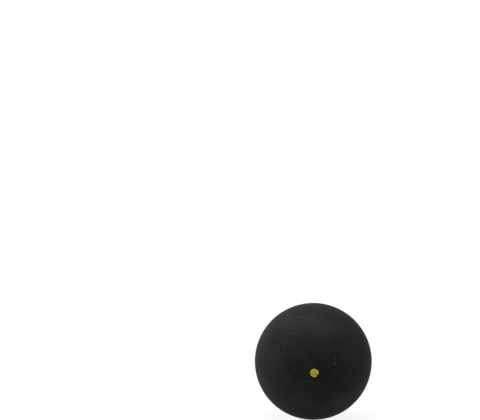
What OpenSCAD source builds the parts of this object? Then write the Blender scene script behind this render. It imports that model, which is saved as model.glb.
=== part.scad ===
// Squash ball with one speed dot: a hollow rubber ball of two moulded half shells,
// butted rim to rim and joined by a film of rubber cement, with a dot of ink printed
// on the crown of the front half. The origin is the centre of the ball. The seam lies
// in the XZ plane, and the dot faces -Y. All sizes are in millimetres.

/* [Ball] */
// Outside diameter of the finished ball
ball_d = 40; // [39.5:0.1:40.5]
// Thickness of the rubber wall
wall_t = 5; // [4.2:0.1:5.6]

/* [Seam] */
// Thickness of the cured cement between the two rims
cement_t = 0.1; // [0.06:0.02:0.3]
// Width of the bevel that buffing leaves on the outer edge of each rim
edge_bevel = 0.06; // [0.04:0.02:0.2]
// Depth of the cement's outer edge below the surface of the ball
cement_sink = 0.06; // [0.02:0.02:0.2]
// Radius of the bead of cement that pressing squeezes into the cavity
bead_r = 0.4; // [0.2:0.05:0.8]

/* [Dot] */
// Diameter of the printed dot
dot_d = 2.8; // [2.4:0.1:4]
// Thickness of the ink in the middle of the dot
ink_t = 0.05; // [0.03:0.01:0.08]
// Height of the raised ring where the ink dries thickest
ring_h = 0.09; // [0.08:0.01:0.12]
// Width of the raised ring
ring_w = 0.45; // [0.3:0.05:0.8]

/* [Hidden] */
$fn = 180;
ball_r = ball_d / 2;
cavity_r = ball_r - wall_t;
rim_y = cement_t / 2;
// The ring's crown is an arc of this radius, from its chord and height
ring_arc_r = (ring_w * ring_w / 4 + ring_h * ring_h) / (2 * ring_h);
// Radius from the ball's axis to the middle of the ring, and the angle that it stands at
ring_mid_r = (dot_d - ring_w) / 2;
ring_tilt = asin(ring_mid_r / ball_r);

// Half of the wall in section: X is the distance from the ball's axis, and Y the height above the seam
module wall_section() {
    difference() {
        intersection() {
            circle(r = ball_r);
            translate([0, rim_y]) square(ball_r);
        }
        circle(r = cavity_r);
        translate([ball_r, rim_y]) rotate(45) square(edge_bevel * sqrt(2), center = true);
    }
}

// One moulded half, with its crown up and its flat rim just above the seam
module half_shell() {
    rotate_extrude() wall_section();
}

module front_half_shell() {
    color([0.14, 0.14, 0.14]) rotate([90, 0, 0]) half_shell();
}

module rear_half_shell() {
    color([0.14, 0.14, 0.14]) rotate([-90, 0, 0]) half_shell();
}

// The cement fills the joint from the sunk outer edge to the cavity, and ends there
// in a half-round bead that lies on the inner wall of both halves
module cement_section() {
    translate([cavity_r - bead_r / 2, -rim_y]) square([wall_t + bead_r / 2 - cement_sink, cement_t]);
    intersection() {
        translate([cavity_r, 0]) circle(r = bead_r);
        circle(r = cavity_r);
    }
}

module seam_cement() {
    color([0.05, 0.05, 0.05]) rotate([90, 0, 0]) rotate_extrude() cement_section();
}

// The print in section: a thin skin of ink on the ball's crown inside a thicker ring
module ink_section() {
    difference() {
        union() {
            intersection() {
                circle(r = ball_r + ink_t);
                translate([0, cavity_r]) square([ring_mid_r, 2 * wall_t]);
            }
            rotate(-ring_tilt) translate([0, ball_r + ring_h - ring_arc_r]) circle(r = ring_arc_r);
        }
        circle(r = ball_r);
    }
}

module yellow_dot() {
    color([0.78, 0.68, 0.14]) rotate([90, 0, 0]) rotate_extrude() ink_section();
}

front_half_shell();
rear_half_shell();
seam_cement();
yellow_dot();
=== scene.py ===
"""A squash ball with one yellow speed dot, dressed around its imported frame.

The ball is two moulded half shells of black rubber, cemented rim to rim, with a dot of ink
printed on the crown of the front half. Lengths are in metres where nothing else is said. The
origin is the ball's centre, the seam lies in the XZ plane, the dot faces -Y and Z points up.
"""

import logging
import math
from abc import ABC, abstractmethod
from collections.abc import Iterable
from dataclasses import dataclass
from enum import Enum
from typing import ClassVar

import bpy
import numpy as np
from bpy.types import ID, Material, Node, NodeSocket, NodeTree, Object
from mathutils import Euler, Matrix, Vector

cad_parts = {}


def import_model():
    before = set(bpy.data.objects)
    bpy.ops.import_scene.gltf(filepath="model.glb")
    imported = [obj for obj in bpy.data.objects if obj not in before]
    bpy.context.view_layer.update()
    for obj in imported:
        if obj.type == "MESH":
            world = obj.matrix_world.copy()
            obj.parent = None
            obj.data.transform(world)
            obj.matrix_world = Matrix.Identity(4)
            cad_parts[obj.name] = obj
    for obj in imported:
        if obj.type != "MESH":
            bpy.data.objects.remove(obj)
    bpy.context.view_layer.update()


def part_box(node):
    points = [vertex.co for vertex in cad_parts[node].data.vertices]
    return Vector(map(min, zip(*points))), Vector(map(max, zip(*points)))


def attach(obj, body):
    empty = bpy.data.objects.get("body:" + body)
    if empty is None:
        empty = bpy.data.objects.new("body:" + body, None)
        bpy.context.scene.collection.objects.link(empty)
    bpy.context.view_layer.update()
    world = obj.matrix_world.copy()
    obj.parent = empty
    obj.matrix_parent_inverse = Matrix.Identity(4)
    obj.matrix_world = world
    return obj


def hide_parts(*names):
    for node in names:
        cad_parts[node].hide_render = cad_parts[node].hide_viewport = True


MM = 0.001
FULL_TURN = 2 * math.pi
WHITE = (1.0, 1.0, 1.0, 1.0)
BODY = "root"
# Five decimals of a metre are hundredths of a millimetre
DECIMALS = 5
LOG = logging.getLogger("squash_ball")

# A Mix node's sockets for its share and its two colours, and the one that their blend leaves by
MIX_SHARE, MIX_FIRST, MIX_SECOND, MIX_RESULT = 0, 6, 7, 2

Colour = tuple[float, float, float, float]
Point = tuple[float, float]
Range = tuple[float, float]


class Slot(Enum):
    """The names of the record's material slots."""

    SHELL_RUBBER = "shell_rubber"
    RUBBER_CEMENT = "rubber_cement"
    DOT_INK = "dot_ink"


class Half(Enum):
    """The halves of the ball, by how far each is turned about X from crown up, and its seed."""

    FRONT = (math.pi / 2, 11)
    REAR = (-math.pi / 2, 29)


@dataclass(frozen=True)
class BallSizes:
    """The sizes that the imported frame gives, and the thickness of the wall, which no box of it shows."""

    radius: float
    rim_height: float
    cement_edge: float
    bead_radius: float
    dot_radius: float
    wall: float = 5 * MM

    @classmethod
    def from_frame(cls) -> "BallSizes":
        """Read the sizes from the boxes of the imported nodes.

        Returns:
            The sizes.
        """
        shell_low, shell_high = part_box("rear_half_shell")
        cement_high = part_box("seam_cement")[1]
        dot_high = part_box("yellow_dot")[1]
        read = (shell_high.x, shell_low.y, cement_high.x, cement_high.y, dot_high.x)
        return cls(*(round(size, DECIMALS) for size in read))

    @property
    def cavity_radius(self) -> float:
        """Return the radius of the space inside."""
        return self.radius - self.wall


@dataclass(frozen=True)
class Noise:
    """A soft pattern, by the size of its blotches, and its weights in the look of what shows it."""

    size: float
    seed: float
    detail: float = 0.0
    tone: float = 0.0
    roughness: float = 0.0
    relief: float = 0.0


class Flow:
    """What comes out of a node. Arithmetic on it and its methods add nodes to its tree."""

    def __init__(self, sketch: "Sketch", socket: NodeSocket) -> None:
        """Keep the socket and the sketch that it belongs to."""
        self.sketch = sketch
        self.socket = socket

    def __add__(self, other: "Flow | float | tuple") -> "Flow":
        """Return the sum."""
        return self.apply("ADD", other)

    def __radd__(self, other: float) -> "Flow":
        """Return the sum, which is this alone for the 0 that sum() starts with."""
        return self + other if other else self

    def __sub__(self, other: "Flow | float | tuple") -> "Flow":
        """Return the difference."""
        return self.apply("SUBTRACT", other)

    def __rsub__(self, other: float) -> "Flow":
        """Return the difference from a number."""
        return self.sketch.flow("ShaderNodeMath", {0: other, 1: self}, operation="SUBTRACT")

    def __mul__(self, other: "Flow | float") -> "Flow":
        """Return the product with a number, where this may be a vector."""
        return self.sketch.scaled(self, other) if self.is_vector else self.apply("MULTIPLY", other)

    def __truediv__(self, other: "Flow | float") -> "Flow":
        """Return the quotient."""
        return self.apply("DIVIDE", other)

    @property
    def is_vector(self) -> bool:
        """Tell a vector or a colour from a number."""
        return self.socket.type in ("VECTOR", "RGBA")

    def apply(self, operation: str, *values: "Flow | float | tuple") -> "Flow":
        """Put a number through a Math node, or a vector through a Vector Math node.

        Args:
            operation: What the node does.
            *values: What it takes besides this.

        Returns:
            The result, which is a number for a length or a dot product too.
        """
        kind = "ShaderNodeVectorMath" if self.is_vector else "ShaderNodeMath"
        stays_vector = self.is_vector and operation not in ("LENGTH", "DOT_PRODUCT")
        output = "Vector" if stays_vector else "Value"
        return self.sketch.flow(kind, dict(enumerate((self, *values))), output, operation=operation)

    def unit(self) -> "Flow":
        """Return the vector of length 1 in this direction."""
        return self.apply("NORMALIZE")

    def parts(self) -> tuple["Flow", "Flow", "Flow"]:
        """Return a vector's X, Y and Z."""
        node = self.sketch.add("ShaderNodeSeparateXYZ", {0: self})
        return tuple(Flow(self.sketch, output) for output in node.outputs)

    def off_axis(self) -> "Flow":
        """Return how far this place is from the Y axis, on which the ball's two crowns lie."""
        x, _, z = self.parts()
        return (x * x + z * z).apply("SQRT")

    def noise(self, pattern: Noise, seed: "Flow | float" = 0.0) -> "Flow":
        """Read a soft pattern at this place.

        Args:
            pattern: The pattern.
            seed: Is added to the pattern's own.

        Returns:
            A number about 0, mostly within 0.25 of it.
        """
        inputs = {
            "Vector": self,
            "W": seed + pattern.seed,
            "Scale": 1 / pattern.size,
            "Detail": pattern.detail,
        }
        return self.sketch.flow("ShaderNodeTexNoise", inputs, noise_dimensions="4D") - 0.5

    def ramp(self, start: float, end: float, low: float = 0.0, high: float = 1.0) -> "Flow":
        """Return a smooth step from low to high as this goes from start to end."""
        inputs = {"Value": self, "From Min": start, "From Max": end, "To Min": low, "To Max": high}
        return self.sketch.flow("ShaderNodeMapRange", inputs, interpolation_type="SMOOTHSTEP")

    def fade(self, start: float, end: float, high: float = 1.0) -> "Flow":
        """Return a smooth step from high down to 0 as this goes from start to end."""
        return self.ramp(start, end, high, 0.0)

    def blend(self, first: "Flow | Colour", second: "Flow | Colour") -> "Flow":
        """Return a colour that goes from the first to the second as this goes from 0 to 1."""
        inputs = {MIX_SHARE: self, MIX_FIRST: first, MIX_SECOND: second}
        return self.sketch.flow("ShaderNodeMix", inputs, MIX_RESULT, data_type="RGBA")

    def bump(self, depth: float) -> "Flow":
        """Return the normal of a surface with this relief, which has that depth where it is 1."""
        return self.sketch.flow("ShaderNodeBump", {"Strength": 1.0, "Distance": depth, "Height": self})


class Sketch:
    """Draws a node tree, for a material, the world or a mesh alike."""

    def __init__(self, tree: NodeTree) -> None:
        """Start on an empty tree."""
        self.tree = tree
        tree.nodes.clear()

    def add(self, kind: str, inputs: dict | None = None, **settings: object) -> Node:
        """Add a node.

        Args:
            kind: The node's type name.
            inputs: What goes into its sockets, by socket name or number.
            **settings: Its properties.

        Returns:
            The node.
        """
        node = self.tree.nodes.new(kind)
        for name, value in settings.items():
            setattr(node, name, value)
        for key, value in (inputs or {}).items():
            if isinstance(value, Flow):
                self.tree.links.new(value.socket, node.inputs[key])
            else:
                node.inputs[key].default_value = value
        return node

    def flow(self, kind: str, inputs: dict | None = None, output: str | int = 0, **settings: object) -> Flow:
        """Add a node and return what comes out of one of its outputs."""
        return Flow(self, self.add(kind, inputs, **settings).outputs[output])

    def scaled(self, vector: Flow | tuple, factor: Flow | float) -> Flow:
        """Return a vector times a number."""
        return self.flow("ShaderNodeVectorMath", {"Vector": vector, "Scale": factor}, operation="SCALE")

    def joined(self, x: Flow | float, y: Flow | float, z: Flow | float) -> Flow:
        """Return the vector of three numbers."""
        return self.flow("ShaderNodeCombineXYZ", {0: x, 1: y, 2: z})


def on_front(x: float, z: float, ball_radius: float) -> Vector:
    """Return the point on the front of the ball that lies x and z millimetres from its middle."""
    x, z = x * MM, z * MM
    return Vector((x, -math.sqrt(ball_radius**2 - x * x - z * z), z))


@dataclass(frozen=True)
class Mark:
    """A light mark on the front of the ball: a straight stroke, or a speck where it has no run.

    Its middle lies x and z from the dot's axis, and its sizes are in millimetres.

    Attributes:
        strength: How much paler it is, as a share of the rubber's tone.
        width: How far from its middle line it has faded out.
        core: The share of its width over which it has its full strength.
    """

    x: float
    z: float
    strength: float = 1.2
    run_x: float = 0.0
    run_z: float = 0.0
    width: float = 0.24
    core: float = 0.35

    def drawn(self, place: Flow, ball_radius: float) -> Flow:
        """Draw the mark on a ball.

        Args:
            place: Where it is read.
            ball_radius: The ball's radius.

        Returns:
            Its strength there.
        """
        across, up = self.run_x / 2, self.run_z / 2
        start = on_front(self.x - across, self.z - up, ball_radius)
        run = on_front(self.x + across, self.z + up, ball_radius) - start
        rest = place - tuple(start)
        if run.length > 0:
            share = rest.apply("DOT_PRODUCT", tuple(run / run.length_squared))
            share = share.apply("MAXIMUM", 0.0).apply("MINIMUM", 1.0)
            rest = rest - place.sketch.scaled(tuple(run), share)
        width = self.width * MM
        return rest.apply("LENGTH").fade(self.core * width, width, self.strength)


@dataclass(frozen=True)
class SoftPatch:
    """A soft patch on the front of the ball, placed like a mark, in millimetres. On the rubber such patches
    are partly dust and partly painted highlight and painted shade; on the ink they are spots in the print.

    Attributes:
        reach: How far from its middle it has faded out.
        strength: How much paler its middle is, as a share of the tone, or darker below 0.
    """

    x: float
    z: float
    reach: float
    strength: float

    def drawn(self, place: Flow, ball_radius: float, wander: Flow) -> Flow:
        """Draw the patch on a ball.

        Args:
            place: Where it is read.
            ball_radius: The ball's radius.
            wander: Noise that its outline wanders by, as a share of its reach.

        Returns:
            Its strength there.
        """
        away = (place - tuple(on_front(self.x, self.z, ball_radius))).apply("LENGTH")
        reach = self.reach * MM
        return (away + wander * reach).fade(0.0, reach, self.strength)


@dataclass(frozen=True)
class Scatter:
    """Marks at points that are scattered all over the ball.

    Attributes:
        bare_share: The share of the points that bear no mark.
    """

    spacing: float
    bare_share: float

    def nearest(self, place: Flow) -> tuple[Flow, tuple[Flow, Flow, Flow]]:
        """Find the nearest point.

        Args:
            place: Where it is read.

        Returns:
            The step from the point along the ball's surface, and three random numbers of the point.
        """
        cells = place.sketch.add("ShaderNodeTexVoronoi", {"Vector": place, "Scale": 1 / self.spacing})
        point, chances = (Flow(place.sketch, cells.outputs[name]) for name in ("Position", "Color"))
        step = place - point
        upright = place.unit()
        return step - upright * step.apply("DOT_PRODUCT", upright), chances.parts()


@dataclass(frozen=True)
class Specks(Scatter):
    """Sparse light specks. Their core is as a mark's, and their strength is that of the palest."""

    spacing: float = 1.7 * MM
    bare_share: float = 0.64
    least_radius: float = 0.12 * MM
    radius_spread: float = 0.18 * MM
    core: float = 0.4
    strength: float = 1.6

    def drawn(self, place: Flow) -> Flow:
        """Draw the specks.

        Args:
            place: Where they are read.

        Returns:
            Their strength there.
        """
        step, (chance, size, strength) = self.nearest(place)
        away = step.apply("LENGTH") / (size * self.radius_spread + self.least_radius)
        shown = chance.apply("GREATER_THAN", self.bare_share)
        return away.fade(self.core, 1.0) * shown * (strength * strength * self.strength)


@dataclass(frozen=True)
class Scuffs(Scatter):
    """Short light scuffs in all directions, few and far between.

    Attributes:
        side_fade: The distances from a scuff's middle line over which it fades out.
        end_fade: The distances along that line over which it fades out.
    """

    spacing: float = 6.5 * MM
    bare_share: float = 0.6
    side_fade: Range = (0.03 * MM, 0.1 * MM)
    end_fade: Range = (0.5 * MM, 1.2 * MM)
    least_strength: float = 0.2
    strength_spread: float = 0.6

    def drawn(self, place: Flow) -> Flow:
        """Draw the scuffs.

        Args:
            place: Where they are read.

        Returns:
            Their strength there.
        """
        step, (chance, turn, strength) = self.nearest(place)
        lean = place.sketch.joined(chance - 0.5, turn - 0.5, strength - 0.5)
        across = place.unit().apply("CROSS_PRODUCT", lean).unit()
        aside = step.apply("DOT_PRODUCT", across).apply("ABSOLUTE")
        along = (step.apply("DOT_PRODUCT", step) - aside * aside).apply("SQRT")
        line = aside.fade(*self.side_fade) * along.fade(*self.end_fade)
        shown = turn.apply("GREATER_THAN", self.bare_share)
        return line * shown * (strength * self.strength_spread + self.least_strength)


class Finish(ABC):
    """A finish, as one shader that reads the piece's own coordinates."""

    name: ClassVar[str]
    shine: float
    bump_depth: float

    @abstractmethod
    def surface(self, place: Flow) -> tuple[Flow, Flow, Flow]:
        """Draw the surface.

        Args:
            place: Where it is read.

        Returns:
            Its colour, its roughness and its relief.
        """

    def material(self) -> Material:
        """Make the finish's material.

        Returns:
            The material.
        """
        made = bpy.data.materials.new(self.name)
        made.use_nodes = True
        sketch = Sketch(made.node_tree)
        colour, rough, relief = self.surface(sketch.flow("ShaderNodeTexCoord", output="Object"))
        inputs = {
            "Base Color": colour,
            "Roughness": rough,
            "Specular IOR Level": self.shine,
            "Normal": relief.bump(self.bump_depth),
        }
        shader = sketch.flow("ShaderNodeBsdfPrincipled", inputs)
        sketch.add("ShaderNodeOutputMaterial", {"Surface": shader})
        return made


@dataclass(frozen=True)
class MattRubber(Finish):
    """Black filled rubber, buffed dull, with a hazy bloom, mottling, a grain, specks, scuffs, and paler and
    darker patches that are partly dust and partly painted highlight and painted shade.

    Attributes:
        front_bloom: The bloom's weight in the tone in front, where it adds to the patches of dust and
            painted light and shade.
        bloom_turn: The distances behind the middle over which it goes over into rear_bloom.
        mark_polish: How much smoother a mark of strength 1 is.
        stain_depth: How strong the stain is at the dot's edge, where 1 already tints in full.
    """

    name: ClassVar[str] = "matt_black_rubber"

    sizes: BallSizes
    tone: float = 0.0195
    roughness: float = 0.74
    shine: float = 0.05
    bump_depth: float = 0.03 * MM
    bloom: Noise = Noise(6.5 * MM, seed=3.1, detail=2.0, roughness=0.2)
    mottle: Noise = Noise(0.8 * MM, seed=5.7, detail=2.0, tone=1.05, roughness=0.25, relief=0.6)
    grain: Noise = Noise(0.34 * MM, seed=8.3, detail=3.0, tone=2.2)
    front_bloom: float = 0.5
    rear_bloom: float = 1.2
    bloom_turn: Range = (1.0 * MM, 8.0 * MM)
    patch_wander: float = 0.4
    mark_polish: float = 0.04
    mark_relief: float = 0.3
    stain_width: float = 0.95 * MM
    stain_depth: float = 1.5
    stain_tint: Colour = (1.2, 0.9, 0.0, 1.0)
    specks: Specks = Specks()
    scuffs: Scuffs = Scuffs()
    # Patches of the tone, partly dust and partly painted light: the broad pale one high up is a painted
    # highlight of the overhead lamp, the pale ones low on the left rim are painted light, and the dark ones
    # on the upper right rim are painted shade
    dust_and_painted_light: tuple[SoftPatch, ...] = (
        SoftPatch(2.6, 14.7, 8.0, 0.65),
        SoftPatch(-2.5, 16.9, 5.0, 0.45),
        SoftPatch(-8.0, 15.4, 6.5, 0.4),
        SoftPatch(-17.6, -1.8, 4.5, 0.2),
        SoftPatch(-16.6, -6.0, 5.0, 0.35),
        SoftPatch(-15.0, -9.8, 5.0, 0.2),
        SoftPatch(9.0, -11.8, 7.0, 0.4),
        SoftPatch(12.6, -10.6, 4.0, 0.25),
        SoftPatch(1.6, -14.5, 6.0, 0.2),
        SoftPatch(-4.6, -10.2, 6.0, 0.25),
        SoftPatch(12.6, 6.3, 7.0, 0.2),
        SoftPatch(9.0, 13.0, 5.0, 0.25),
        SoftPatch(3.0, 0.6, 5.5, -0.25),
        SoftPatch(7.0, -3.5, 6.0, -0.15),
        SoftPatch(-7.0, 1.0, 6.0, -0.25),
        SoftPatch(-13.2, 2.8, 4.5, 0.2),
        SoftPatch(16.2, 10.3, 5.0, -0.2),
        SoftPatch(12.9, 14.9, 4.5, -0.3),
        SoftPatch(1.6, 9.9, 6.0, 0.15),
        SoftPatch(-5.2, 13.6, 4.5, 0.2),
        SoftPatch(-13.5, 9.7, 5.0, -0.3),
        SoftPatch(14.7, -7.8, 4.5, 0.3),
    )
    marks: tuple[Mark, ...] = (
        Mark(6.8, 2.9, 6.8, width=0.34),
        Mark(6.9, 4.95, 2.4, run_z=0.5, width=0.18),
        Mark(6.75, 4.2, 2.9, run_z=0.35, width=0.19),
        Mark(3.7, -12.25, 2.6, run_x=1.6, run_z=0.6, width=0.18),
        Mark(2.1, -12.0, run_x=0.3, width=0.2),
        Mark(-11.4, 4.8, 2.2),
        Mark(12.2, -11.0, 1.9, run_x=0.4),
        Mark(-16.5, 0.8, 1.9, width=0.28),
        Mark(17.1, 8.2, run_z=0.6),
        Mark(-6.3, 12.6, 0.7, run_x=0.6, width=0.26),
        Mark(-5.0, 17.1, 0.24, run_x=2.0, width=0.8),
        Mark(-5.75, 17.1, 0.8, width=0.42),
        Mark(-8.3, 9.4, 1.5),
        Mark(-1.2, -8.2, 1.3),
        Mark(-8.7, -3.4, 1.3),
        Mark(-12.3, 7.3, width=0.28),
        Mark(-2.4, -9.4),
        Mark(-9.7, 5.5),
        Mark(-6.9, 6.6),
        Mark(12.4, -8.6),
        Mark(12.7, -0.4),
        Mark(12.3, -1.8, 1.1),
        Mark(-14.7, 3.5, width=0.28),
        Mark(3.6, 16.0),
        Mark(8.4, -10.9, 1.0),
        Mark(-6.0, -7.9, 1.0),
    )

    def surface(self, place: Flow) -> tuple[Flow, Flow, Flow]:
        """Draw the rubber.

        Args:
            place: Where it is read.

        Returns:
            Its colour, its roughness and its relief.
        """
        bloom, mottle, grain = (place.noise(pattern) for pattern in (self.bloom, self.mottle, self.grain))
        placed = sum(mark.drawn(place, self.sizes.radius) for mark in self.marks)
        marks = placed + self.specks.drawn(place) + self.scuffs.drawn(place)
        wander = bloom * self.patch_wander
        # Painted highlight and painted shade, mixed with dust, in patches over the front
        dust_and_painted_light = sum(soft_patch.drawn(place, self.sizes.radius, wander) for soft_patch in self.dust_and_painted_light)
        behind = place.parts()[1].ramp(*self.bloom_turn, self.front_bloom, self.rear_bloom)
        uneven = dust_and_painted_light + bloom * behind + mottle * self.mottle.tone + grain * self.grain.tone
        rough = mottle * self.mottle.roughness + bloom * self.bloom.roughness + self.roughness
        relief = grain + mottle * self.mottle.relief + marks * self.mark_relief
        colour = self.stain(place) * ((uneven + 1.0 + marks) * self.tone)
        return colour, rough - marks * self.mark_polish, relief

    def stain(self, place: Flow) -> Flow:
        """Draw the tint that the ink's oil gives the rubber round the dot.

        Args:
            place: Where it is read.

        Returns:
            The tint, which is white beyond the stain.
        """
        edge = self.sizes.dot_radius
        soaked = place.off_axis().fade(edge, edge + self.stain_width, self.stain_depth)
        front = place.parts()[1].apply("LESS_THAN", 0.0)
        return (soaked * front).blend(WHITE, self.stain_tint)


@dataclass(frozen=True)
class CuredCement(Finish):
    """Black rubber cement, cured to a skin that is a little darker than the shells and as dull."""

    name: ClassVar[str] = "cured_rubber_cement"

    tone: float = 0.014
    roughness: float = 0.72
    shine: float = 0.05
    bump_depth: float = 0.03 * MM
    ripple: Noise = Noise(0.5 * MM, seed=2.4, detail=2.0, tone=0.6)
    patch: Noise = Noise(4 * MM, seed=6.1, detail=1.0, tone=0.6, roughness=0.4)

    def surface(self, place: Flow) -> tuple[Flow, Flow, Flow]:
        """Draw the cement.

        Args:
            place: Where it is read.

        Returns:
            Its colour, its roughness and its relief.
        """
        ripple, patch = place.noise(self.ripple), place.noise(self.patch)
        grey = (ripple * self.ripple.tone + patch * self.patch.tone + 1.0) * self.tone
        return grey, patch * self.patch.roughness + self.roughness, ripple


@dataclass(frozen=True)
class DriedInk(Finish):
    """Yellow ink: deep gold where the print is thin, leaner in spots, and paler on its thick ring, partly
    with a painted highlight where the raised ring catches the light.

    Attributes:
        lean_from: The values of the noise leaner over which the ink grows lean.
        ring_fade: The shares of the dot's radius over which the thick ring's paler colour, partly a painted
            highlight, comes in.
        heavy_side: The direction in which the ring is broader, as a share of the way out.
    """

    name: ClassVar[str] = "dried_yellow_ink"

    sizes: BallSizes
    thin: Colour = (0.66, 0.475, 0.014, 1.0)
    lean: Colour = (0.5, 0.4, 0.016, 1.0)
    # The ring's colour: thicker, paler ink, with a painted highlight of the light on the raised ring mixed
    # in
    thick_and_highlit: Colour = (0.64, 0.585, 0.145, 1.0)
    roughness: float = 0.55
    shine: float = 0.2
    bump_depth: float = 0.02 * MM
    blotch: Noise = Noise(0.45 * MM, seed=4.2, detail=2.0, tone=0.5, roughness=0.3)
    grain: Noise = Noise(0.15 * MM, seed=1.9, detail=1.0, tone=0.4)
    leaner: Noise = Noise(0.7 * MM, seed=7.7, detail=1.0)
    lean_from: Range = (-0.02, 0.16)
    ring_fade: Range = (0.66, 0.9)
    ring_wander: float = 0.35 * MM
    heavy_side: tuple[float, float, float] = (0.05, 0.0, 0.04)
    spots: tuple[SoftPatch, ...] = (
        SoftPatch(-0.95, -0.1, 0.6, -0.4),
        SoftPatch(0.75, -0.7, 0.6, -0.35),
        SoftPatch(0.6, 0.9, 0.8, 0.15),
    )
    spot_wander: float = 0.4

    def surface(self, place: Flow) -> tuple[Flow, Flow, Flow]:
        """Draw the ink.

        Args:
            place: Where it is read.

        Returns:
            Its colour, its roughness and its relief.
        """
        blotch, grain, leaner = (place.noise(pattern) for pattern in (self.blotch, self.grain, self.leaner))
        heavy = place.apply("DOT_PRODUCT", self.heavy_side)
        share = (place.off_axis() + blotch * self.ring_wander + heavy) / self.sizes.dot_radius
        middle = leaner.ramp(*self.lean_from).blend(self.thin, self.lean)
        wander = blotch * self.spot_wander
        spots = sum(spot.drawn(place, self.sizes.radius, wander) for spot in self.spots)
        shade = blotch * self.blotch.tone + grain * self.grain.tone + 1.0 + spots
        # The ring is painted paler, partly for thicker ink and partly as a painted highlight
        colour = share.ramp(*self.ring_fade).blend(middle, self.thick_and_highlit) * shade
        return colour, blotch * self.blotch.roughness + self.roughness, grain


def put(name: str, data: ID) -> Object:
    """Put an object in the scene.

    Args:
        name: Its name.
        data: What it shows.

    Returns:
        The object.
    """
    made = bpy.data.objects.new(name, data)
    bpy.context.scene.collection.objects.link(made)
    return made


def solid_mesh(name: str, points: np.ndarray, faces: list) -> Object:
    """Put a closed mesh in the scene, smoothly shaded.

    Args:
        name: The piece's name.
        points: Its points, one row each.
        faces: The numbers of each face's points, in order round it as seen from outside.

    Returns:
        The piece.
    """
    mesh = bpy.data.meshes.new(name)
    mesh.from_pydata(points.tolist(), [], faces)
    mesh.polygons.foreach_set("use_smooth", [True] * len(mesh.polygons))
    mesh.validate()
    return put(name, mesh)


def seat(piece: Object, node: str, finish: Material) -> None:
    """Give a piece its finish, put it on the ball's body and let it stand for its CAD node.

    Args:
        piece: The piece.
        node: The name of the CAD node.
        finish: The finish, which a piece that already has one keeps.
    """
    if not piece.data.materials:
        piece.data.materials.append(finish)
    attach(piece, BODY)
    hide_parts(node)


def random_wave(turns: np.ndarray, orders: Iterable[int], seed: int) -> np.ndarray:
    """Make a random wave round a circle.

    Args:
        turns: The angles that it is read at.
        orders: How often each of the waves that add up to it swings in a full turn.
        seed: Picks one wave of many.

    Returns:
        The wave at each angle, which swings out to 1 at its furthest.
    """
    rng = np.random.default_rng(seed)
    wave = sum(
        rng.normal() / order**0.5 * np.sin(order * turns + rng.uniform(0, FULL_TURN)) for order in orders
    )
    return wave / np.abs(wave).max()


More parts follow.
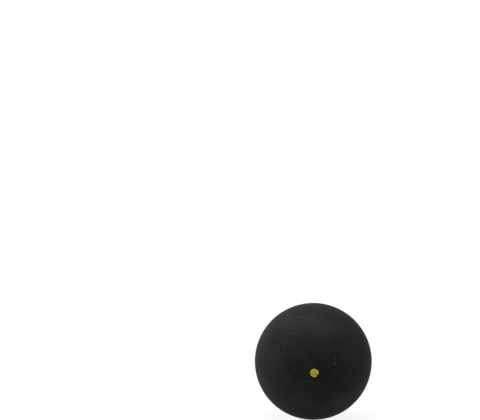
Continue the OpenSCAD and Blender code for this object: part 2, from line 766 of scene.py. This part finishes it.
@dataclass(frozen=True)
class ShellForm:
    """The node tree that makes a half shell, crown up, then turns it and gives it its skin.

    Attributes:
        depth_middle: How deep pebbles, swell and the lip's wear are where their noise is 0.
        relief_fade: The heights over the seam, in millimetres, over which the relief comes in.
        wear_fade: Those over which the wear of the lip goes out.
        bare_fade: How far past the bare crown, in millimetres, the relief has come in.
    """

    INPUTS: ClassVar[dict[str, str]] = {
        "Ball Radius": "Float",
        "Cavity Radius": "Float",
        "Rim Height": "Float",
        "Lip": "Float",
        "Lip Wander": "Float",
        "Relief Depth": "Float",
        "Bare Radius": "Float",
        "Squares": "Int",
        "Turn": "Float",
        "Seed": "Int",
        "Rubber": "Material",
    }

    lip_rows: int = 4
    cavity_rows: int = 14
    weld: float = 0.002 * MM
    pebbles: Noise = Noise(1.0 * MM, seed=0.0, detail=1.0, relief=0.5)
    swell: Noise = Noise(9 * MM, seed=3.0, relief=1.0)
    wear: Noise = Noise(0.9 * MM, seed=5.0, detail=1.0, relief=2.0)
    depth_middle: float = 0.5
    relief_fade: Range = (0.15, 1.0)
    wear_fade: Range = (0.1, 0.7)
    bare_fade: float = 0.8

    def tree(self) -> NodeTree:
        """Draw the tree.

        Returns:
            The tree, which has the inputs that INPUTS names.
        """
        tree = bpy.data.node_groups.new("half_shell_form", "GeometryNodeTree")
        for name, kind in self.INPUTS.items():
            tree.interface.new_socket(name, in_out="INPUT", socket_type=f"NodeSocket{kind}")
        tree.interface.new_socket("Shell", in_out="OUTPUT", socket_type="NodeSocketGeometry")
        sketch = Sketch(tree)
        entry = sketch.add("NodeGroupInput")
        given = {name: Flow(sketch, entry.outputs[name]) for name in self.INPUTS}
        whole = sketch.add("GeometryNodeJoinGeometry")
        for part in (self.lining(sketch, given), self.dome(sketch, given)):
            tree.links.new(part.socket, whole.inputs[0])
        shell = Flow(sketch, whole.outputs[0])
        shell = sketch.flow("GeometryNodeMergeByDistance", {"Geometry": shell, "Distance": self.weld})
        turn = sketch.joined(given["Turn"], 0.0, 0.0)
        shell = sketch.flow("GeometryNodeTransform", {"Geometry": shell, "Rotation": turn})
        shell = self.skin(sketch, given, shell)
        shell = sketch.flow("GeometryNodeSetShadeSmooth", {0: shell})
        shell = sketch.flow("GeometryNodeRealizeInstances", {0: shell})
        shell = sketch.flow("GeometryNodeSetMaterial", {"Geometry": shell, "Material": given["Rubber"]})
        sketch.add("NodeGroupOutput", {0: shell})
        return tree

    def dome(self, sketch: Sketch, given: dict[str, Flow]) -> Flow:
        """Draw the outside: the upper half of a cube, blown up to a ball, so that its squares are even.

        Args:
            sketch: The tree that is drawn.
            given: What its inputs give, by their names.

        Returns:
            The dome, which is open below and ends where the lip begins.
        """
        side = given["Squares"] + 1.0
        counts = {"Vertices X": side, "Vertices Y": side, "Vertices Z": given["Squares"] / 2.0 + 1.0}
        cube = sketch.flow("GeometryNodeMeshCube", {"Size": (2.0, 2.0, 1.0), **counts})
        place = sketch.flow("GeometryNodeInputPosition")
        # The half cube is centred, so its floor is at -0.5, and half of its height lifts it to 0
        low, hair = -0.5, 0.0001
        floor = {"Geometry": cube, "Selection": place.parts()[2].apply("LESS_THAN", low + hair)}
        cube = sketch.flow("GeometryNodeDeleteGeometry", floor, domain="FACE")
        even = ((place + (0.0, 0.0, -low)) * (math.pi / 4)).apply("TANGENT")
        x, y, z = even.unit().parts()
        flat = sketch.joined(x, y, 0.0).unit()
        foot = ((given["Rim Height"] + given["Lip"]) / given["Ball Radius"]).apply("ARCSINE")
        rise = foot + z.apply("ARCSINE") * (1.0 - foot * (2 / math.pi))
        out = flat * rise.apply("COSINE") + sketch.joined(0.0, 0.0, rise.apply("SINE"))
        ball = out * given["Ball Radius"]
        return sketch.flow("GeometryNodeSetPosition", {"Geometry": cube, "Position": ball})

    def lining(self, sketch: Sketch, given: dict[str, Flow]) -> Flow:
        """Draw the rest: a sheet rolled round the axis, from the lip over the rim and up the cavity.

        Args:
            sketch: The tree that is drawn.
            given: What its inputs give, by their names.

        Returns:
            The lining, which begins where the dome ends and is closed at the top of the cavity.
        """
        last = self.lip_rows + 1 + self.cavity_rows
        counts = {"Vertices X": given["Squares"] * 4.0 + 1.0, "Vertices Y": last + 1}
        sheet = sketch.flow("GeometryNodeMeshGrid", {"Size X": 1.0, "Size Y": 1.0, **counts})
        u, v, _ = sketch.flow("GeometryNodeInputPosition").parts()
        row = (v + 0.5) * float(last)
        names = ("Ball Radius", "Cavity Radius", "Rim Height", "Lip")
        ball, cavity, rim, lip = (given[name] for name in names)
        # The lip is an arc from the dome's foot to the rim, drawn towards the corner between them
        share = (row / float(self.lip_rows)).apply("MINIMUM", 1.0)
        start = (1.0 - share) * (1.0 - share)
        middle = share * (1.0 - share) * 2.0
        end = share * share
        top = rim + lip
        brink = (ball * ball - top * top).apply("SQRT")
        lip_out = start * brink + middle * ball + end * (ball - lip)
        lip_up = start * top + (1.0 - start) * rim
        # The row after the lip's last crosses the rim, and the others climb the cavity to its top
        foot = (rim / cavity).apply("ARCSINE")
        climb = (row - (self.lip_rows + 1.0)) / float(self.cavity_rows)
        rise = foot + climb.apply("MAXIMUM", 0.0) * (math.pi / 2 - foot)
        inside = row.apply("GREATER_THAN", self.lip_rows + 0.5)
        out = lip_out + inside * (cavity * rise.apply("COSINE") - lip_out)
        up = lip_up + inside * (cavity * rise.apply("SINE") - lip_up)
        turn = (u + 0.5) * -FULL_TURN
        place = sketch.joined(out * turn.apply("COSINE"), out * turn.apply("SINE"), up)
        return sketch.flow("GeometryNodeSetPosition", {"Geometry": sheet, "Position": place})

    def skin(self, sketch: Sketch, given: dict[str, Flow], shell: Flow) -> Flow:
        """Draw the buffed skin: a fine relief that sinks into the outside only, and a worn lip.

        Args:
            sketch: The tree that is drawn.
            given: What its inputs give, by their names.
            shell: The smooth shell, turned to its place.

        Returns:
            The shell with its skin.
        """
        place = sketch.flow("GeometryNodeInputPosition")
        wall_middle = (given["Ball Radius"] + given["Cavity Radius"]) / 2.0
        outside = place.apply("LENGTH").apply("GREATER_THAN", wall_middle)
        above = place.parts()[1].apply("ABSOLUTE") / MM
        past_bare = (place.off_axis() - given["Bare Radius"]) / MM
        pebbles, swell, wear = (
            place.noise(pattern, given["Seed"]) * pattern.relief + self.depth_middle
            for pattern in (self.pebbles, self.swell, self.wear)
        )
        relief = (pebbles + swell) * given["Relief Depth"] * above.ramp(*self.relief_fade)
        relief = relief * past_bare.ramp(0.0, self.bare_fade)
        sunk = relief + wear * given["Lip Wander"] * above.fade(*self.wear_fade)
        push = place.unit() * (sunk * outside * -1.0)
        return sketch.flow("GeometryNodeSetPosition", {"Geometry": shell, "Offset": push})


@dataclass
class HalfShell:
    """One moulded half of the ball: a hollow dome with a flat buffed rim, closed all over.

    Attributes:
        lip: How far in and up buffing rounds the rim's outer edge.
        lip_wander: Twice the mean depth that this edge is worn down by.
        bare_margin: How far round the dot the skin is left smooth, for the ink to lie on.
        squares: How many squares the dome has along a side of its cube.
    """

    half: Half
    sizes: BallSizes
    rubber: Material
    form: NodeTree
    lip: float = 0.07 * MM
    lip_wander: float = 0.012 * MM
    relief_depth: float = 0.02 * MM
    bare_margin: float = 0.15 * MM
    squares: int = 160

    @property
    def side(self) -> str:
        """Return what the names of the shell and of its CAD node begin with."""
        return self.half.name.lower()

    def build(self) -> Object:
        """Make the shell's mesh with its form.

        Returns:
            The piece, with a plain mesh.
        """
        under_dot = self.half is Half.FRONT
        turn, seed = self.half.value
        values = {
            "Ball Radius": self.sizes.radius,
            "Cavity Radius": self.sizes.cavity_radius,
            "Rim Height": self.sizes.rim_height,
            "Lip": self.lip,
            "Lip Wander": self.lip_wander,
            "Relief Depth": self.relief_depth,
            "Bare Radius": self.sizes.dot_radius + self.bare_margin if under_dot else 0.0,
            "Squares": self.squares,
            "Turn": turn,
            "Seed": seed,
            "Rubber": self.rubber,
        }
        carrier = put("carrier", bpy.data.meshes.new("carrier"))
        modifier = carrier.modifiers.new("form", "NODES")
        modifier.node_group = self.form
        for socket in self.form.interface.items_tree:
            if socket.in_out == "INPUT":
                modifier[socket.identifier] = values[socket.name]
        carrier.update_tag()
        graph = bpy.context.evaluated_depsgraph_get()
        graph.update()
        mesh = bpy.data.meshes.new_from_object(carrier.evaluated_get(graph))
        bpy.data.objects.remove(carrier)
        mesh.name = f"{self.side}_shell_rubber"
        return put(mesh.name, mesh)

    def dress(self, piece: Object) -> None:
        """Seat the shell in its rubber."""
        seat(piece, f"{self.side}_half_shell", self.rubber)


@dataclass
class SeamCement:
    """The film of cement between the rims: sunk and uneven outside, with a bead inside.

    Attributes:
        hollow: How far its outer edge is hollowed, as a share of half of its thickness.
        bead_gap: The angle at each end of the bead that its points leave free.
        orders: How often each part of its outer edge's waver swings in a full turn.
    """

    sizes: BallSizes
    cement: Material
    hollow: float = 0.3
    bead_points: int = 11
    bead_gap: float = 0.02
    waver: float = 0.012 * MM
    orders: tuple[int, ...] = (3, 7, 13, 29, 61, 113, 170)
    seed: int = 7
    steps: int = 720

    def section(self) -> tuple[list[Point], list[Point]]:
        """Draw the film's section, as distances from the axis and heights.

        Returns:
            The points of its outer edge, and the others, in order round the section.
        """
        cavity, bead = self.sizes.cavity_radius, self.sizes.bead_radius
        half = self.sizes.rim_height
        edge = self.sizes.cement_edge
        outer = [(edge, -half), (edge - self.hollow * half, 0.0), (edge, half)]
        angles = np.linspace(self.bead_gap, math.pi - self.bead_gap, self.bead_points)
        beading = [(cavity - bead * math.sin(angle), bead * math.cos(angle)) for angle in angles]
        return outer, [(cavity, half), *beading, (cavity, -half)]

    def build(self) -> Object:
        """Sweep the section round the axis.

        Returns:
            The piece.
        """
        outer, inner = self.section()
        out, up = np.array(outer + inner).T
        turns = np.linspace(0, FULL_TURN, self.steps, endpoint=False)[:, None]
        out = np.repeat(out[None, :], self.steps, 0)
        out[:, : len(outer)] += self.waver * random_wave(turns, self.orders, self.seed)
        points = np.stack([out * np.cos(turns), np.broadcast_to(up, out.shape), out * np.sin(turns)], -1)
        count = len(up)
        faces = []
        for step in range(self.steps):
            here, ahead = step * count, (step + 1) % self.steps * count
            for place in range(count):
                beside = (place + 1) % count
                faces.append((here + place, here + beside, ahead + beside, ahead + place))
        return solid_mesh("seam_cement_film", points.reshape(-1, 3), faces)

    def dress(self, piece: Object) -> None:
        """Seat the film in its cement."""
        seat(piece, "seam_cement", self.cement)


@dataclass(frozen=True)
class Bump:
    """A place where the dot's edge swells out, or cuts in where the height is below 0.

    The turn, from +X towards +Z, and the width, over which it sinks to about a third, are in
    degrees, and the height is a share of the dot's radius.
    """

    turn: float
    width: float
    height: float


@dataclass
class SpeedDot:
    """The printed dot: a thin disc of ink with a thicker ring, an uneven outline and a nick.

    Attributes:
        ring_place: Where the ring's crown is, as a share of the way out, like its width.
        ring_dip: Half of the share of its height that the ring loses in each of its ring_dips.
        swell_turns: How many radians the swell's waves turn on the way out, across and up.
        waver: How far the outline wavers, as a share of the radius.
        crowding: How the rings of squares crowd towards the edge: less is more even.
        under_rings: Where the underside's rings are, as shares of the way out.
    """

    sizes: BallSizes
    ink: Material
    middle_height: float = 0.042 * MM
    ring_height: float = 0.088 * MM
    ring_place: float = 0.84
    ring_width: float = 0.1
    ring_dip: float = 0.05
    ring_dips: int = 3
    first_dip: float = 1.0
    swell: float = 0.004 * MM
    swell_turns: tuple[int, int] = (7, 9)
    bite: float = 0.02 * MM
    waver: float = 0.014
    orders: range = range(2, 36)
    seed: int = 5
    bumps: tuple[Bump, ...] = (
        Bump(-38.0, 8.0, -0.27),
        Bump(62.0, 11.0, -0.1),
        Bump(14.0, 16.0, 0.05),
        Bump(-88.0, 18.0, 0.03),
        Bump(160.0, 18.0, -0.015),
    )
    rings: int = 26
    crowding: float = 0.8
    under_rings: tuple[float, ...] = (0.98, 0.6, 0.25)
    steps: int = 240

    def outline(self, turns: np.ndarray) -> np.ndarray:
        """Draw the dot's edge.

        Args:
            turns: The angles that it is read at, from +X towards +Z.

        Returns:
            The distance from the middle to the edge at each angle.
        """
        radius = self.sizes.dot_radius
        found = radius * (1 + self.waver * random_wave(turns, self.orders, self.seed))
        for bump in self.bumps:
            gap = (np.degrees(turns) - bump.turn + 180) % 360 - 180
            found += radius * bump.height * np.exp(-((gap / bump.width) ** 2))
        return found

    def height(self, share: np.ndarray, turns: np.ndarray) -> np.ndarray:
        """Draw the top of the ink.

        Args:
            share: How much of the way out each point is.
            turns: Its angle, from +X towards +Z.

        Returns:
            How high the ink stands at each point.
        """
        ring = np.exp(-(((share - self.ring_place) / self.ring_width) ** 2))
        dips = 1 - np.sin(self.ring_dips * turns + self.first_dip)
        crown = self.ring_height * (1 - self.ring_dip * dips)
        found = self.middle_height + (crown - self.middle_height) * ring
        across, up = self.swell_turns
        waves = np.sin(across * share * np.cos(turns)) * np.sin(up * share * np.sin(turns))
        found += self.swell * waves * (1 - ring)
        past = np.clip((share - self.ring_place) / (1 - self.ring_place), 0, 1)
        return found * np.sqrt(1 - past**2)

    def on_ball(self, away: np.ndarray, turns: np.ndarray, height: np.ndarray) -> np.ndarray:
        """Lay points over the front crown.

        Args:
            away: How far off the axis each point is.
            turns: Its angle, from +X towards +Z.
            height: Its height over the ball.

        Returns:
            The points.
        """
        lean = np.arcsin(away / self.sizes.radius)
        reach = self.sizes.radius + height
        out = reach * np.sin(lean)
        return np.stack([out * np.cos(turns), -reach * np.cos(lean), out * np.sin(turns)], -1)

    def build(self) -> Object:
        """Make the ink: a top of rings of squares, and an underside that bites into the rubber.

        Returns:
            The piece.
        """
        turns = np.linspace(0, FULL_TURN, self.steps, endpoint=False)
        edge = self.outline(turns)
        top = np.sin(np.linspace(0, math.pi / 2, self.rings + 1)[1:]) ** self.crowding
        shares = np.concatenate([top, self.under_rings])
        grid_share, grid_turn = np.meshgrid(shares, turns, indexing="ij")
        height = self.height(grid_share, grid_turn)
        height[len(top) :] = -self.bite
        points = self.on_ball(grid_share * edge[None, :], grid_turn, height).reshape(-1, 3)
        poles = self.on_ball(np.zeros(2), np.zeros(2), np.array([self.middle_height, -self.bite]))
        points = np.concatenate([points, poles])
        front, back = len(points) - 2, len(points) - 1
        last = (len(shares) - 1) * self.steps
        faces = []
        for step in range(self.steps):
            ahead = (step + 1) % self.steps
            faces.append((front, step, ahead))
            for near in range(0, last, self.steps):
                far = near + self.steps
                faces.append((near + step, far + step, far + ahead, near + ahead))
            faces.append((last + step, back, last + ahead))
        return solid_mesh("dot_ink_print", points, faces)

    def dress(self, piece: Object) -> None:
        """Seat the dot in its ink."""
        seat(piece, "yellow_dot", self.ink)


@dataclass(frozen=True)
class Softbox:
    """A square lamp of even light that faces the ball.

    Attributes:
        level: How brightly it lights a white card at the ball, where 1 renders white.
    """

    name: str
    place: tuple[float, float, float]
    side: float
    level: float

    def hang(self) -> None:
        """Hang the lamp."""
        place = Vector(self.place)
        light = bpy.data.lights.new(self.name, "AREA")
        light.shape = "SQUARE"
        light.size = self.side
        light.energy = self.level * math.pi**2 * place.length_squared
        made = put(self.name, light)
        made.location = place
        made.rotation_euler = (-place).to_track_quat("-Z", "Y").to_euler()


@dataclass
class Studio:
    """The pale floor, the white surround, the soft lamps and the camera.

    Attributes:
        floor_bounce: How pale the floor is to the ball.
        floor_shade: How pale it is where it is seen, which is enough to keep the shadow.
        floor_glow: How white the floor glows by itself there, up to shadow_reach from its middle.
        white_from: How far out it glows fully white.
        azimuth: Where the camera stands, in radians from -Y towards +X.
        ball_pixel: Where the ball's centre is in the frame, in pixels from its upper left corner.
    """

    floor_level: float
    floor_radius: float = 1.5
    floor_corners: int = 96
    floor_bounce: float = 0.75
    floor_shade: float = 0.14
    floor_glow: float = 0.9
    shadow_reach: float = 0.12
    white_from: float = 0.45
    lamps: tuple[Softbox, ...] = (
        Softbox("overhead_softbox", (0.0, 0.0, 1.0), 0.9, 0.95),
        Softbox("upper_left_softbox", (-0.6, 0.0, 0.8), 0.7, 0.15),
        Softbox("left_back_softbox", (-0.75, 0.55, 0.35), 0.6, 0.2),
        Softbox("left_softbox", (-1.0, 0.0, 0.2), 0.6, 0.36),
        Softbox("right_softbox", (1.0, 0.0, 0.2), 0.6, 0.11),
    )
    azimuth: float = math.radians(-1.04)
    elevation: float = math.radians(11.2)
    distance: float = 1.1612
    focal_pixels: float = 3393.0
    frame_pixels: tuple[int, int] = (480, 420)
    ball_pixel: tuple[float, float] = (313.29, 361.34)
    sensor_width: float = 36.0
    clip: Range = (0.05, 10.0)

    def seen(self, sketch: Sketch) -> Flow:
        """Tell rays that show a surface from those that light the object.

        Args:
            sketch: The tree that is drawn.

        Returns:
            1 for rays from the camera, also mirrored or let through ones, and 0 for the others.
        """
        path = sketch.add("ShaderNodeLightPath")
        kinds = ("Is Camera Ray", "Is Glossy Ray", "Is Transmission Ray")
        camera, glossy, through = (Flow(sketch, path.outputs[kind]) for kind in kinds)
        return camera.apply("MAXIMUM", glossy).apply("MAXIMUM", through)

    def surround(self) -> None:
        """Make the world: white where it is seen, and dark otherwise, because the lamps give the light."""
        world = bpy.data.worlds.new("white_surround")
        world.use_nodes = True
        bpy.context.scene.world = world
        sketch = Sketch(world.node_tree)
        white = sketch.flow("ShaderNodeBackground", {"Color": WHITE, "Strength": self.seen(sketch)})
        sketch.add("ShaderNodeOutputWorld", {"Surface": white})

    def floor(self) -> None:
        """Lay the floor: a disc that shows white and keeps a faint shadow."""
        radius = self.floor_radius
        turns = np.linspace(0, FULL_TURN, self.floor_corners, endpoint=False)
        points = [(radius * math.cos(turn), radius * math.sin(turn), self.floor_level) for turn in turns]
        mesh = bpy.data.meshes.new("pale_floor")
        mesh.from_pydata(points, [], [tuple(range(len(points)))])
        mesh.materials.append(self.paint())
        put("pale_floor", mesh)

    def paint(self) -> Material:
        """Mix the floor's paint.

        Returns:
            The material.
        """
        made = bpy.data.materials.new("pale_floor_paint")
        made.use_nodes = True
        sketch = Sketch(made.node_tree)
        seen = self.seen(sketch)
        bounce = seen * (self.floor_shade - self.floor_bounce) + self.floor_bounce
        matt = sketch.flow("ShaderNodeBsdfDiffuse", {"Color": bounce})
        away = sketch.flow("ShaderNodeTexCoord", output="Object").apply("LENGTH")
        level = away.ramp(self.shadow_reach, self.white_from, self.floor_glow, 1.0)
        glow = sketch.flow("ShaderNodeEmission", {"Strength": seen * level})
        both = sketch.flow("ShaderNodeAddShader", {0: matt, 1: glow})
        sketch.add("ShaderNodeOutputMaterial", {"Surface": both})
        return made

    def camera(self) -> None:
        """Set up the camera where the photograph was taken, with the ball at its place in the frame."""
        width, height = self.frame_pixels
        right, down = self.ball_pixel
        flat, rise = math.cos(self.elevation), math.sin(self.elevation)
        away = Vector((math.sin(self.azimuth) * flat, -math.cos(self.azimuth) * flat, rise))
        # How the camera sees the ball, before it is tilted up from the floor and turned about Z
        sight = Vector((right - width / 2, height / 2 - down, -self.focal_pixels)).normalized()
        tilt = math.atan2(sight.y, sight.z) - math.acos(-away.z / math.hypot(sight.y, sight.z))
        level = Euler((tilt, 0, 0)).to_matrix() @ sight
        turn = math.atan2(-away.y, -away.x) - math.atan2(level.y, level.x)
        lens = bpy.data.cameras.new("photo_camera")
        lens.sensor_width = self.sensor_width
        lens.lens = self.focal_pixels / width * self.sensor_width
        lens.clip_start, lens.clip_end = self.clip
        made = put("photo_camera", lens)
        made.location = away * self.distance
        made.rotation_euler = (tilt, 0, turn)
        bpy.context.scene.camera = made

    def build(self) -> None:
        """Make the whole studio."""
        bpy.context.scene.view_settings.view_transform = "Standard"
        self.surround()
        self.floor()
        for lamp in self.lamps:
            lamp.hang()
        self.camera()


def main() -> None:
    """Load the frame, build the ball's pieces and the studio, and note both sizes."""
    logging.basicConfig(level=logging.INFO, format="%(message)s")
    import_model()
    sizes = BallSizes.from_frame()
    LOG.info("from the frame, in metres: %s", sizes)
    rubber = MattRubber(sizes).material()
    form = ShellForm().tree()
    ball = (
        HalfShell(Half.FRONT, sizes, rubber, form),
        HalfShell(Half.REAR, sizes, rubber, form),
        SeamCement(sizes, CuredCement().material()),
        SpeedDot(sizes, DriedInk(sizes).material()),
    )
    for part in ball:
        piece = part.build()
        part.dress(piece)
        piece.data.calc_loop_triangles()
        LOG.info("%s has %d triangles", piece.name, len(piece.data.loop_triangles))
    Studio(floor_level=-sizes.radius).build()


if __name__ == "__main__":
    main()
